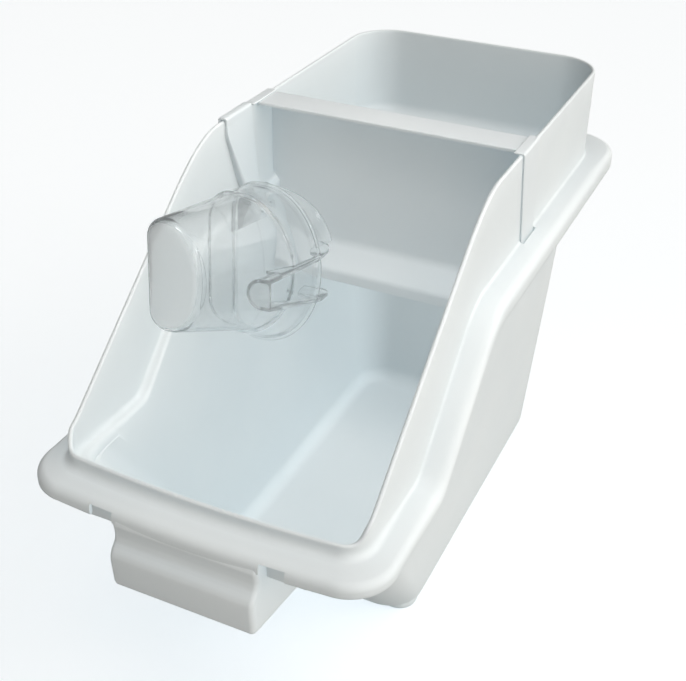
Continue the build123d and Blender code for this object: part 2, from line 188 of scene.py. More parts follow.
# Rounded foot of the wall, and where the straight wall starts above it, inside and outside
BASE_EDGE_R, INSIDE_FOOT_Z, OUTSIDE_FOOT_Z = 16.0, 17.0, 16.0
BASE_MIDDLE_Y = 3.0
# Ledge inside, fillet outside the collar's foot (behind and in front), flange edge roll and fall
LEDGE_DROP, LEDGE_SOFT = 8.5, (4.0, 8.0)
FOOT_FILLET, FRONT_FOOT_FILLET = 3.0, 6.5
ROLL, FRONT_ROLL, FLANGE_FALL = 10.0, 7.5, 1.4
LIP_DROP, FRONT_LIP_DROP = 20.0, 13.5
UNDER_DROP, FRONT_UNDER_DROP = 6.5, 6.0
JOIN_DROP, BODY_TOP_DROP = 7.0, 12.0
TINY = 1e-6
# Notches in the front lip and slots for the divider's legs: middle x, half width, low and high (y, z)
NOTCH_X, NOTCH_HALF, NOTCH_LOW, NOTCH_HIGH = 69.0, 9.7, (-377.0, 192.0), (-358.5, 216.5)
SLOT_X, SLOT_HALF, SLOT_LOW, SLOT_HIGH = 125.4, 2.3, (-28.0, 312.0), (6.0, 322.0)


def body_half(z):
    """Half width of the body at one height."""
    return float(np.interp(z, BODY_LEVELS, BODY_HALVES))


def body_plan(z, inset, slant_inset):
    """Body outline at one height; side points share out the straight part evenly by index."""
    share = z / SHELF_Z
    half = body_half(z) - inset
    front = BASE_FRONT - FRONT_RUN * z + slant_inset
    rear = BASE_REAR + REAR_RUN * share - inset
    radius = BASE_CORNER + CORNER_GROWTH * share - inset
    k = (SIDE_YS[0] - SIDE_YS) / (SIDE_YS[0] - SIDE_YS[-1])
    start, end = rear - radius, front + radius
    ys = start + (end - start) * (SIDE_START + SIDE_SPAN * k)
    return plan_loop(half, front, rear, radius, radius, 0.0, ys)


def body_loop(line, share, inset, base_z=0.0):
    """A body loop that share of the way up from the base level to the height given by line(y)."""
    slant = inset * math.hypot(1, FRONT_RUN)
    collar = collar_plan()
    base = body_plan(base_z, inset, slant)
    first = END_STEPS + CORNER_STEPS
    side_of = {}
    for k, y in enumerate(SIDE_YS):
        side_of[first + k] = y if y > PACK_Y else PACK_Y + (y - PACK_Y) * PACK_SHARE
        side_of[len(collar) - first - k] = side_of[first + k]
    levels = {}
    out = []
    for i, (_, y_top) in enumerate(collar):
        z = base_z + (line(y_top) - base_z) * share
        if i in side_of:
            x = math.copysign(body_half(z) - inset, base[i, 0])
            out.append((x, base[i, 1] + (side_of[i] - base[i, 1]) * share, z))
            continue
        key = round(float(z), 3)
        if key not in levels:
            levels[key] = body_plan(z, inset, slant)
        out.append((*levels[key][i], z))
    return np.array(out)


def base_fillet(inset, radius, base_z):
    """Loops that round the foot of the body wall into the level floor, from the wall down."""
    slant = inset * math.hypot(1, FRONT_RUN)
    loops = []
    for a in np.linspace(90, 0, 9):
        off = radius * (1 - math.sin(math.radians(a)))
        z = base_z + radius * (1 - math.cos(math.radians(a)))
        plan = body_plan(z, inset + off, slant + off)
        loops.append(np.column_stack([plan, np.full(len(plan), z)]))
    return loops


def skin(name, loops, cap_first=False, cap_last=False):
    """Mesh through closed loops that all have the same number of points."""
    n = len(loops[0])
    verts = np.vstack(loops) * MM
    faces = []
    for k in range(len(loops) - 1):
        for i in range(n):
            j = (i + 1) % n
            faces.append((k * n + i, k * n + j, (k + 1) * n + j, (k + 1) * n + i))
    if cap_first:
        faces.append(tuple(range(n - 1, -1, -1)))
    if cap_last:
        faces.append(tuple((len(loops) - 1) * n + i for i in range(n)))
    return mesh_object(name, verts, faces)


def mesh_object(name, verts, faces):
    """Shaded object from vertices in metres and faces, with its normals facing out."""
    mesh = bpy.data.meshes.new(name)
    mesh.from_pydata([tuple(v) for v in verts], [], faces)
    mesh.validate()
    mesh.update()
    fix_normals(mesh)
    obj = bpy.data.objects.new(name, mesh)
    bpy.context.scene.collection.objects.link(obj)
    return shade(obj)


def fix_normals(mesh):
    """Turn all faces of a closed mesh outwards."""
    bm = bmesh.new()
    bm.from_mesh(mesh)
    bmesh.ops.recalc_face_normals(bm, faces=bm.faces)
    bm.to_mesh(mesh)
    bm.free()


def shrunk(ring, share):
    """A level ring drawn in towards the middle of the base."""
    out = ring.copy()
    out[:, 0] *= share
    out[:, 1] = (out[:, 1] - BASE_MIDDLE_Y) * share + BASE_MIDDLE_Y
    return out


def between(first, last, shares):
    """Rings part of the way from one ring to another."""
    return [first + (last - first) * share for share in shares]


def inside_floor():
    """Rings from the middle of the inside floor out and round the foot of the wall."""
    fillet = base_fillet(WALL, BASE_EDGE_R - WALL / 2, WALL)[::-1]
    return [shrunk(fillet[0], share) for share in (0.02, 0.3, 0.65)] + fillet


def inside_ledge(collar_in, top):
    """Rings up the inside wall and over a soft S out to the collar's inside face."""
    reach = body_loop(top, 1.0, WALL, INSIDE_FOOT_Z)[:, :2]
    step = collar_in - reach
    width = np.linalg.norm(step, axis=1)
    soft = np.clip(width * 0.5, *LEDGE_SOFT)
    half_share = np.minimum(0.5, LEDGE_SOFT[1] / np.maximum(width, TINY))
    wall_top = shelf_line(LEDGE_DROP)
    rings = [body_loop(wall_top, share, WALL, INSIDE_FOOT_Z) for share in (0.25, 0.5, 0.75, 0.93, 1.0)]
    for a in np.radians((0, 20, 40, 60, 78)):
        plan = reach + step * (half_share * (1 - math.cos(a)))[:, None]
        rings.append(with_z(plan, top, -soft * (1 - math.sin(a))))
    for a in np.radians((12, 30, 50, 70, 90)):
        plan = collar_in - step * (half_share * (1 - math.sin(a)))[:, None]
        rings.append(with_z(plan, top, soft * (1 - math.cos(a))))
    return rings


def rounded_rim(rim):
    """Rings over the rim, from the inside face to the outside face."""
    r = RIM_WALL / 2
    rings = []
    for a in np.radians(np.linspace(180, 0, 9)):
        plan = collar_plan(r - r * math.cos(a))
        rings.append(np.column_stack([plan, rim - r + r * math.sin(a)]))
    return rings


def flange_top(collar_out, flange_out, top, foot):
    """Rings from the collar's foot fillet over the flange top, its roll and its outer lip."""
    rings = []
    for a in np.radians((18, 36, 54, 72, 90)):
        plan = toward(collar_out, flange_out, foot * (1 - math.cos(a)))
        rings.append(with_z(plan, top, foot * (1 - math.sin(a))))
    roll = np.array([ROLL - (ROLL - FRONT_ROLL) * smooth((-230 - y) / 80) for y in collar_out[:, 1]])
    edge = toward(flange_out, collar_out, roll)
    inner = toward(collar_out, flange_out, foot)
    for share in (0.5, 1.0):
        rings.append(with_z(inner + (edge - inner) * share, top, -FLANGE_FALL * share ** 2))
    for a in np.radians((12, 25, 38, 51, 64, 77, 90)):
        inset = np.maximum(roll * (1 - math.sin(a)), 0.001)
        z = -FLANGE_FALL - (roll - FLANGE_FALL * 0.6) * (1 - math.cos(a))
        rings.append(with_z(toward(flange_out, collar_out, inset), top, z))
    lip_foot = shelf_line(LIP_DROP, FRONT_LIP_DROP)
    lip = with_z(toward(flange_out, collar_out, 0.001), lip_foot, 1.2)
    rings += between(rings[-1], lip, (0.5, 1.0))
    for inset, up in ((0.5, 0.3), (1.5, 0.0), (2.5, 0.3), (3.0, 1.2)):
        rings.append(with_z(toward(flange_out, collar_out, inset), lip_foot, up))
    return rings


def flange_under(collar_out, flange_out):
    """Rings back under the flange and round the fillet onto the body."""
    under = shelf_line(UNDER_DROP, FRONT_UNDER_DROP)
    lip_wall, fillet_up = 5.0, 2.6
    rings = [with_z(toward(flange_out, collar_out, inset), under, up)
             for inset, up in ((3.2, -0.5), (lip_wall, 1.6))]
    body = body_loop(shelf_line(JOIN_DROP), 1.0, 0.0, OUTSIDE_FOOT_Z)
    above = with_z(body[:, :2], under, fillet_up)
    outwards = toward(flange_out, collar_out, lip_wall)[:, :2] - above[:, :2]
    outwards /= np.maximum(np.linalg.norm(outwards, axis=1), TINY)[:, None]
    for out, drop in ((4.0, 0.0), (1.6, 0.8), (0.5, 2.2)):
        ring = above.copy()
        ring[:, :2] += outwards * out
        ring[:, 2] -= drop
        rings.append(ring)
    return rings


def outside_body():
    """Rings down the outside wall, round its foot and over the slightly raised underside."""
    wall_top = shelf_line(BODY_TOP_DROP)
    rings = [body_loop(wall_top, share, 0.0, OUTSIDE_FOOT_Z) for share in (1.0, 0.75, 0.5, 0.25)]
    rings += base_fillet(0.0, BASE_EDGE_R, 0.5)
    foot = rings[-1]
    for share, z in ((0.94, 0.5), (0.925, 1.5), (0.5, 1.5)):
        ring = shrunk(foot, share)
        ring[:, 2] = z
        rings.append(ring)
    return rings


def tub_shell():
    """One closed skin, from the middle of the inside floor over the rim to the middle of the underside."""
    collar_out, collar_in = collar_plan(), collar_plan(RIM_WALL)
    flange_out = flange_plan()
    rim = np.array([rim_line(y) for y in collar_out[:, 1]])
    foot = np.array([FOOT_FILLET + (FRONT_FOOT_FILLET - FOOT_FILLET) * smooth((-262 - y) / 62)
                     for y in collar_out[:, 1]])
    top = shelf_line()
    loops = inside_floor() + inside_ledge(collar_in, top)
    loops += between(loops[-1], np.column_stack([collar_in, rim - RIM_WALL / 2]), (0.25, 0.5, 0.75))
    loops += rounded_rim(rim)
    loops += between(loops[-1], with_z(collar_out, top, foot), (0.25, 0.5, 0.75, 1.0))
    loops += flange_top(collar_out, flange_out, top, foot)
    loops += flange_under(collar_out, flange_out)
    loops += outside_body()
    return skin("tub_shell", loops, cap_first=True, cap_last=True)


def open_tub():
    """The tub with the two notches in its front lip and the two slots for the divider's legs."""
    cutters = []
    for side in (-1, 1):
        x = side * NOTCH_X
        cutters.append(block("notch", (x - NOTCH_HALF, *NOTCH_LOW), (x + NOTCH_HALF, *NOTCH_HIGH)))
        x = side * SLOT_X
        cutters.append(block("slot", (x - SLOT_HALF, *SLOT_LOW), (x + SLOT_HALF, *SLOT_HIGH)))
    return cut(tub_shell(), cutters)


def applied(obj):
    """The object with its modifiers applied to its mesh."""
    graph = bpy.context.evaluated_depsgraph_get()
    mesh = bpy.data.meshes.new_from_object(obj.evaluated_get(graph))
    obj.modifiers.clear()
    obj.data = mesh
    return obj


def shade(obj, angle=42.0):
    """Smooth shading with a crease wherever two faces meet at more than the angle."""
    mesh = obj.data
    mesh.polygons.foreach_set("use_smooth", [True] * len(mesh.polygons))
    mesh.set_sharp_from_angle(angle=math.radians(angle))
    return obj


def cut(obj, cutters):
    """The object less the cutters, which are removed from the scene."""
    for cutter in cutters:
        mod = obj.modifiers.new("cut", "BOOLEAN")
        mod.operation, mod.object, mod.solver = "DIFFERENCE", cutter, "EXACT"
    applied(obj)
    for cutter in cutters:
        bpy.data.objects.remove(cutter)
    return shade(obj)


def bevel(obj, width, segments=3, angle=35.0):
    """Round the edges that are sharper than the angle; the width is in millimetres."""
    mod = obj.modifiers.new("bevel", "BEVEL")
    mod.width, mod.segments = width * MM, segments
    mod.limit_method, mod.angle_limit = "ANGLE", math.radians(angle)
    applied(obj)
    return shade(obj, 20.0)


def prism(name, outline, low, high, axis="X"):
    """A closed outline in the other two axes, extruded between two values of one axis."""
    order = {"X": (1, 2, 0), "Y": (0, 2, 1), "Z": (0, 1, 2)}[axis]
    loops = []
    for value in (low, high):
        loop = np.zeros((len(outline), 3))
        loop[:, order[0]] = [p[0] for p in outline]
        loop[:, order[1]] = [p[1] for p in outline]
        loop[:, order[2]] = value
        loops.append(loop)
    return skin(name, loops, cap_first=True, cap_last=True)


def block(name, low, high):
    """Box between two corners, used for webs and as a cutter."""
    outline = [(low[0], low[1]), (high[0], low[1]), (high[0], high[1]), (low[0], high[1])]
    return prism(name, outline, low[2], high[2], "Z")


def join(name, parts):
    """One mesh object from several, without welding them."""
    verts, faces, start = [], [], 0
    for part in parts:
        verts += [tuple(v.co) for v in part.data.vertices]
        faces += [tuple(start + i for i in p.vertices) for p in part.data.polygons]
        start = len(verts)
    mesh = bpy.data.meshes.new(name)
    mesh.from_pydata(verts, [], faces)
    mesh.update()
    obj = bpy.data.objects.new(name, mesh)
    bpy.context.scene.collection.objects.link(obj)
    for part in parts:
        bpy.data.objects.remove(part)
    return shade(obj, 20.0)


def rounded_path(points, radii, steps=6):
    """Open polyline in two axes with arcs of the given radii at its inner corners."""
    out = [np.array(points[0], float)]
    for before, here, after, r in zip(points, points[1:], points[2:], radii):
        p, a, b = (np.array(v, float) for v in (here, before, after))
        u, v = (a - p) / np.linalg.norm(a - p), (b - p) / np.linalg.norm(b - p)
        half = math.acos(float(np.clip(u @ v, -1, 1))) / 2
        if r <= 0 or half > 1.569:
            out.append(p)
            continue
        reach = r / math.tan(half)
        centre = p + (u + v) / np.linalg.norm(u + v) * r / math.sin(half)
        first, last = p + u * reach - centre, p + v * reach - centre
        turn = math.atan2(first[0] * last[1] - first[1] * last[0], first @ last)
        for k in range(steps + 1):
            t = turn * k / steps
            out.append(centre + np.array([first[0] * math.cos(t) - first[1] * math.sin(t),
                                          first[0] * math.sin(t) + first[1] * math.cos(t)]))
    out.append(np.array(points[-1], float))
    return np.array(out)


def path_frame(path):
    """Unit steps along an open path and unit normals to its left."""
    step = np.gradient(path, axis=0)
    step /= np.linalg.norm(step, axis=1)[:, None]
    return step, np.column_stack([-step[:, 1], step[:, 0]])


# Webs beside the block: outer end, low and high (y, z)
WEB_END, WEB_LOW, WEB_HIGH = 90.0, (-353.5, 195.0), (-350.5, 218.5)
# Feet: distance in from the base's edges and outline as (radius, z); they run up into the wall
FEET_INSET = 20.0
FOOT_OUTLINE = ((0.01, 0.0), (11.0, 0.0), (14.6, 0.0), (16.1, 0.5), (17.0, 2.2), (17.3, 8.0), (16.0, 13.0))
FEET_CUT_Z = 40.0
# Pull block; its finger recess is a run of (z, depth) points, each rounded by its reach
PULL_HALF, PULL_FRONT = 59.0, -375.0
PULL_BOTTOM, PULL_TOP, RIDGE_Z, PULL_REAR_LOW = 154.5, 212.0, 179.0, 140.0
PULL_END_R, PULL_FOOT_R, PULL_FACE_Y = 4.0, 6.0, -350.0
RECESS_REACH = (4, 14, 10, 7, 9, 9, 7)
RECESS = ((212.0, 9.0), (207.5, 7.3), (203.0, 8.2), (197.5, 8.5), (193.0, 7.4), (190.0, 4.8), (187.0, 2.0),
          (184.0, 0.5))


def pull_profile(inset, deeper=0.0):
    """Side view of the pull block: finger recess, rounded ridge, lower face; it ends in the slanted wall."""
    front = PULL_FRONT + inset
    face = rounded_path([(front + depth, z) for z, depth in RECESS] + [(front, RIDGE_Z)], RECESS_REACH, 3)
    rear = [(BASE_FRONT - FRONT_RUN * z + 1.6 + deeper, z) for z in (PULL_REAR_LOW, PULL_TOP)]
    low = rounded_path([tuple(face[-1]), (front + 1.5, PULL_BOTTOM), rear[0]], (PULL_FOOT_R,), 8)
    return np.array([tuple(p) for p in face] + [tuple(p) for p in low[1:]] + rear[1:])


def pull_block():
    """Hollow block with a finger recess across its face and rounded ends."""
    outer = pull_profile(0.0)
    turns = np.radians(np.linspace(0, 90, 6))
    ends = [(-PULL_HALF + PULL_END_R * (1 - math.sin(a)), PULL_END_R * (1 - math.cos(a))) for a in turns]
    stations = ends[::-1] + [(-x, inset) for x, inset in ends]
    loops = []
    for x, inset in stations:
        shape = outer.copy()
        exposed = shape[:, 0] < PULL_FACE_Y
        low = exposed & (shape[:, 1] < PULL_BOTTOM + PULL_FOOT_R)
        shape[exposed, 0] += inset
        shape[low, 1] += inset
        loops.append(np.column_stack([np.full(len(shape), x), shape]))
    solid = skin("pull_block", loops, cap_first=True, cap_last=True)
    hollow = pull_profile(WALL, 2 * WALL)
    hollow[:, 1] -= WALL
    inner = prism("pull_hollow", [tuple(p) for p in hollow], WALL - PULL_HALF, PULL_HALF - WALL, "X")
    return cut(solid, [inner])


def webs():
    """Short webs beside the block, seen through the notches in the lip."""
    plates = [block("web", (min(x), *WEB_LOW), (max(x), *WEB_HIGH))
              for x in ((-WEB_END, 1 - PULL_HALF), (PULL_HALF - 1, WEB_END))]
    return join("lip_webs", [bevel(plate, 0.9, 3) for plate in plates])


def feet():
    """Four round feet, cut off where they would come through to the inside."""
    turn = np.linspace(0, 2 * math.pi, 48, endpoint=False)
    parts = []
    for side in (-1, 1):
        x = side * (BASE_HALF - FEET_INSET)
        for y in (BASE_FRONT + FEET_INSET, BASE_REAR - FEET_INSET):
            rings = [np.column_stack([x + r * np.cos(turn), y + r * np.sin(turn), np.full(len(turn), z)])
                     for r, z in FOOT_OUTLINE]
            parts.append(skin("foot", rings, cap_first=True, cap_last=True))
    half_wall = WALL / 2
    core = base_fillet(half_wall, BASE_EDGE_R - half_wall / 2, half_wall)[::-1]
    core.append(body_loop(lambda y: FEET_CUT_Z, 1.0, half_wall, INSIDE_FOOT_Z))
    return cut(join("corner_feet", parts), [skin("core", core, cap_first=True, cap_last=True)])


# Divider: bar from front to rear, legs that lean back as they go down, and the hanging baffle
BAR, BAR_HALF, BAR_THICK, BAR_EDGE_R = (-35.2, -4.5), 119.6, 3.0, 0.8
LEG_X, LEG_THICK, LEG_EDGE_R = 125.45, 1.65, 0.75
LEG_FOOT_Z, LEG_TOP_Z, SADDLE_TOP, SADDLE_IN, SADDLE_R = 314.4, 402.0, 403.5, 3.6, 2.4
LEG_FRONT_YS, LEG_REAR_YS = (-27.0, -45.0), (5.0, -4.5)
BAFFLE_BENDS, BAFFLE_FORWARD, BAFFLE_FOOT_Z = (268.0, 248.0), 20.0, 238.5
BAFFLE_THICK, BAFFLE_BEND_R, BAFFLE_STEP = 2.6, (14.0, 5.0), 4.0
BAFFLE_LEVELS, BAFFLE_HALVES = (230.0, 319.5, 326.0), (109.8, 113.2, 119.3)


def strip(name, path, edges, thickness, radius, axis):
    """Sheet swept along a path in two axes; edges gives its two limits on the third at each point."""
    order = {"X": (1, 2, 0), "Y": (0, 2, 1)}[axis]
    step, left = path_frame(path)
    corner = np.radians(np.linspace(0, 90, 5))
    last = len(path) - 1
    stations = [(0, 0.0, 0.9), (0, 0.35, 0.3), (0, 1.0, 0.0)] + [(k, 0.0, 0.0) for k in range(1, last)]
    stations += [(last, -1.0, 0.0), (last, -0.35, 0.3), (last, 0.0, 0.9)]
    loops = []
    for k, along, shrink in stations:
        place, off = path[k] + step[k] * along * radius, shrink * radius
        low, high = edges[k][0] + off, edges[k][1] - off
        top, bottom = off, thickness - off
        r = min(radius, (bottom - top) / 2 - 0.01)
        ring = []
        for cx, cy, turn in ((high - r, top + r, 0), (high - r, bottom - r, 1), (low + r, bottom - r, 2),
                             (low + r, top + r, 3)):
            for c in corner:
                a = math.pi * 1.5 + c + turn * math.pi / 2
                ring.append((cx + r * math.cos(a), cy + r * math.sin(a)))
        loop = np.zeros((len(ring), 3))
        ring = np.array(ring)
        loop[:, order[2]] = ring[:, 0]
        flat = place - left[k] * ring[:, 1][:, None]
        loop[:, order[0]], loop[:, order[1]] = flat[:, 0], flat[:, 1]
        loops.append(loop)
    return shade(skin(name, loops, cap_first=True, cap_last=True), 30.0)


def divider_bar():
    """Bridge bar, a saddle over each rim and a leg that leans back down each outside wall."""
    parts = []
    for side in (-1, 1):
        corners = [(side * (BAR_HALF - SADDLE_IN), SADDLE_TOP), (side * LEG_X, SADDLE_TOP),
                   (side * LEG_X, LEG_FOOT_Z)]
        path = rounded_path(corners, (SADDLE_R,), 7)
        path = np.vstack([path[:-1], [path[-2] + (path[-1] - path[-2]) * k / 6 for k in range(1, 7)]])
        edges = [tuple(float(np.interp(z, (LEG_FOOT_Z, LEG_TOP_Z), ys)) for ys in (LEG_FRONT_YS, LEG_REAR_YS))
                 for _, z in path]
        if side < 0:
            path, edges = path[::-1], edges[::-1]
        parts.append(strip("saddle", path, edges, LEG_THICK, LEG_EDGE_R, "Y"))
    level = np.array([(x, TOP_Z + 0.05) for x in np.linspace(-BAR_HALF, BAR_HALF, 9)])
    parts.append(strip("bar", level, [BAR] * len(level), BAR_THICK, BAR_EDGE_R, "Y"))
    return join("divider_bar", parts)


def baffle_sheet():
    """Hanging panel whose lower edge bends forward and ends in a short lip."""
    rear, front = BAR[1], BAR[1] - BAFFLE_FORWARD
    path = rounded_path([(rear, TOP_Z - 1.5), (rear, BAFFLE_BENDS[0]), (front, BAFFLE_BENDS[1]),
                         (front, BAFFLE_FOOT_Z)], BAFFLE_BEND_R, 8)[::-1]
    sections = []
    for (y, z), (dy, dz) in zip(path, path_frame(path)[1] * BAFFLE_THICK):
        half, half_far = baffle_half(z), baffle_half(z + dz)
        sections.append(np.array([(-half, y, z), (half, y, z), (half_far, y + dy, z + dz),
                                  (-half_far, y + dy, z + dz)]))
    loops = []
    for low, high in zip(sections, sections[1:]):
        loops.append(low)
        steps = max(1, int(abs(low[0, 2] - high[0, 2]) / BAFFLE_STEP))
        for k in range(1, steps):
            middle = low + (high - low) * k / steps
            for point in middle:
                point[0] = math.copysign(baffle_half(point[2]), point[0])
            loops.append(middle)
    loops.append(sections[-1])
    return bevel(skin("divider_baffle", loops, cap_first=True, cap_last=True), 0.6, 2, 50.0)


def baffle_half(z):
    """Half width of the baffle, which is narrower under the ledge."""
    return float(np.interp(z, BAFFLE_LEVELS, BAFFLE_HALVES))


# Scoop hook on the left rim: shank edges and face as runs over z, then the clip and the tongue
HOOK_TOP_Y = (-88.0, -46.0)
HOOK_TOP_Z, HOOK_SIDE_LOW, HOOK_LOW_Z = 396.8, 321.5, 303.0
HOOK_FRONT_ZS, HOOK_FRONT_YS = (302.0, 387.8), (-57.0, -88.0)
HOOK_REAR_ZS, HOOK_REAR_YS = (315.0, 333.0, 387.8), (-37.0, -45.0, -46.0)
WALL_INSIDE_X = -COLLAR[0] + RIM_WALL
HOOK_FACE_XS = (WALL_INSIDE_X + 10.5, WALL_INSIDE_X + 2.6)
HOOK_THICK, CLIP_OUT, CLIP_IN, CLIP_LEG, CLIP_R = 2.2, 2.6, 0.4, 13.0, 2.6
TONGUE_Y, TONGUE_LEAN, TONGUE_HALF_THICK = -47.0, 25.0, 1.3
# Tongue outline as (distance along it, half width)
TONGUE_OUTLINE = ((-1.0, 6.5), (8.0, 6.5), (16.0, 6.5), (20.0, 6.0), (21.5, 4.6), (22.0, 3.2))


def hook_edges(z):
    """Front and rear edge of the shank at one height."""
    front = np.interp(z, HOOK_FRONT_ZS, HOOK_FRONT_YS)
    rear = np.interp(z, HOOK_REAR_ZS, HOOK_REAR_YS)
    return float(front), float(rear)


def hook_face(z):
    """x of the shank's face at one height: it stands further off the wall lower down."""
    return float(np.interp(z, (HOOK_LOW_Z, HOOK_TOP_Z), HOOK_FACE_XS))


def hook_shank():
    """Channel shank: a face with two rounded side flanges that deepen downwards and end above its foot."""
    loops = []
    for z in [*np.linspace(HOOK_TOP_Z, 322.0, 20), *np.linspace(319.5, HOOK_LOW_Z, 7)]:
        front, rear = hook_edges(z)
        x = hook_face(z)
        grow = min(1.0, max(0.0, (394.0 - z) / 50.0))
        side = (0.3 + 4.3 * grow) if z > HOOK_SIDE_LOW else 0.3
        r = 0.4 + 2.4 * grow
        back = x - HOOK_THICK - side
        path = rounded_path([(back, front), (x, front), (x, rear), (back, rear)], (r, r), 5)
        inner = path + path_frame(path)[1] * HOOK_THICK
        ring = np.vstack([path, inner[::-1]])
        loops.append(np.column_stack([ring, np.full(len(ring), z)]))
    return bevel(skin("hook_shank", loops, cap_first=True, cap_last=True), 0.35, 2, 55.0)


def hook_clip():
    """Sheet that grips the rim from outside and passes over it."""
    out_x, in_x = -COLLAR[0] - CLIP_OUT, WALL_INSIDE_X + CLIP_IN + HOOK_THICK
    top = TOP_Z + CLIP_OUT
    path = rounded_path([(out_x, TOP_Z - CLIP_LEG), (out_x, top), (in_x, top), (in_x, TOP_Z - 6)],
                        (CLIP_R, CLIP_R), 6)
    return strip("hook_clip", path, [HOOK_TOP_Y] * len(path), HOOK_THICK, 0.8, "Y")


def hook_tongue():
    """Short tongue that leans inwards from the foot of the shank and carries the scoop."""
    lean = math.radians(TONGUE_LEAN)
    root = np.array([hook_face(HOOK_LOW_Z) - 1.1, TONGUE_Y, HOOK_LOW_Z + 2.0])
    along = np.array([math.sin(lean), 0, math.cos(lean)])
    across = np.array([math.cos(lean), 0, -math.sin(lean)]) * TONGUE_HALF_THICK
    loops = []
    for distance, half in TONGUE_OUTLINE:
        centre = root + along * distance
        loops.append(np.array([centre + across * a + np.array([0, b * half, 0])
                               for a, b in ((-1, -1), (1, -1), (1, 1), (-1, 1))]))
    return bevel(skin("hook_tongue", loops, cap_first=True, cap_last=True), 0.5, 2, 40.0)


# Clear scoop in its own frame: x from the flat side, y along it, z up; its place, dip and roll
SCOOP_AT, SCOOP_DIP, SCOOP_ROLL = (-106.0, -236.0, 334.8), 9.7, 3.4
SCOOP_WALL, SCOOP_END_R, MOUTH_Y = 2.4, 7.0, 135.0
# Cup sections: place along it, width, height, drop of the middle, corner radius
STATIONS = ((0.0, 48.0, 89.0, 0.0, 15.5), (93.0, 78.0, 116.0, 14.0, 22.0), (135.0, 81.0, 136.0, 25.5, 23.0))
ROUND_SHARE = 0.65


def scoop_matrix():
    """From the scoop's own frame to its place on the hook, in metres."""
    return (Matrix.Translation(Vector(SCOOP_AT) * MM) @ Matrix.Rotation(math.radians(-SCOOP_DIP), 4, "X")
            @ Matrix.Rotation(math.radians(-SCOOP_ROLL), 4, "Y"))


def scoop_values(along):
    """Width, height, drop and corner radius of the cup at one place along it."""
    keys = [s[0] for s in STATIONS]
    return [float(np.interp(along, keys, [s[k] for s in STATIONS])) for k in range(1, 5)]


def scoop_ring(along, grow=0.0, values_at=None):
    """D-shaped ring: flat side with two corner arcs, level runs, elliptical far side."""
    width, height, drop, corner = scoop_values(along if values_at is None else values_at)
    round_x = ROUND_SHARE * width + grow
    cx = width - ROUND_SHARE * width
    half = height / 2 + grow
    c = max(corner + grow, 2.0)
    pts = []
    left = -grow
    for a in np.linspace(180, 90, 12):
        pts.append((left + c + c * math.cos(math.radians(a)), half - c + c * math.sin(math.radians(a))))
    for t in np.linspace(0, 1, 6)[1:-1]:
        pts.append((left + c + (cx - left - c) * t, half))
    for a in np.linspace(90, -90, 49):
        pts.append((cx + round_x * math.cos(math.radians(a)), half * math.sin(math.radians(a))))
    for t in np.linspace(1, 0, 6)[1:-1]:
        pts.append((left + c + (cx - left - c) * t, -half))
    for a in np.linspace(-90, -180, 12):
        pts.append((left + c + c * math.cos(math.radians(a)), -half + c + c * math.sin(math.radians(a))))
    for t in np.linspace(0, 1, 10)[1:-1]:
        pts.append((left, -half + c + (2 * half - 2 * c) * t))
    return np.array([(x, along, z - drop) for x, z in pts])


def drawn_in(ring, share, y):
    """A cup ring drawn in towards its own middle, at the given place along the cup."""
    middle = np.array([ring[:, 0].mean(), 0.0, ring[:, 2].mean()])
    out = middle + (ring - middle) * share
    out[:, 1] = y
    return out


def scoop_cup():
    """Cup skin from the middle of its end face, out over the mouth and back inside."""
    wall = SCOOP_WALL
    first = scoop_ring(0.0, -SCOOP_END_R)
    loops = [drawn_in(first, share, -0.7 * (1 - share ** 2)) for share in (0.03, 0.35, 0.7)]
    for a in np.radians(np.linspace(0, 90, 9)):
        loops.append(scoop_ring(SCOOP_END_R * (1 - math.cos(a)), -SCOOP_END_R * (1 - math.sin(a))))
    shoulder = ((90.5, 0.2), (92, 0.9), (93.2, 1.7), (94.6, 2.0), (96.2, 1.8), (98.5, 1.5))
    collar = ((106, 1.35), (114, 1.2), (122, 1.0), (129, 0.9), (131.5, 1.2), (133.2, 2.0), (134.6, 2.5))
    mouth = ((135.8, 2.3), (136.5, 1.4), (136.7, 0.2), (136.4, -1.0), (135.6, -1.8), (134.0, 0.2 - wall))
    for along in (20, 40, 60, 78, 88):
        loops.append(scoop_ring(along))
    for along, grow in shoulder + collar + mouth:
        loops.append(scoop_ring(along, grow, min(along, MOUTH_Y)))
    for along in (126, 116, 106, 99):
        loops.append(scoop_ring(along, 0.9 - wall))
    loops.append(scoop_ring(95.5, 0.4 - wall))
    for along in (92, 80, 60, 40, 20):
        loops.append(scoop_ring(along, -wall))
    inner = SCOOP_END_R - wall
    for a in np.radians(np.linspace(90, 0, 8)):
        loops.append(scoop_ring(wall + inner * (1 - math.cos(a)), -wall - inner * (1 - math.sin(a))))
    loops += [drawn_in(loops[-1], share, wall) for share in (0.6, 0.03)]
    return skin("scoop_cup", loops, cap_first=True, cap_last=True)


# Hanging tab in the scoop's frame, and its slot in the bin's frame
TAB_YS, TAB_HEIGHT, TAB_CORNER_R = (127.0, 197.0), 30.0, 8.0
TAB_SLOT_XS, TAB_SLOT_HALF, TAB_SLOT_ZS = (-109.5, -100.5), 7.5, (310.2, 323.8)
# Grip: where it starts and ends along the scoop, its outer edge, plate thickness and inner round
GRIP = (41.0, 153.0)
GRIP_OUT, PLATE, GRIP_CORNER_R, TROUGH_X = 85.0, 2.6, 9.0, 64.5


def plate_height(upper, y):
    """Middle height of the grip's upper or lower plate at one distance along the scoop."""
    if upper:
        return float(np.interp(y, (41, 100, 128, 142, 153), (-5.5, -9.5, -11.0, -9.0, -5.0)))
    return float(np.interp(y, (41, 132, 159), (-27.5, -48.0, -46.5)))


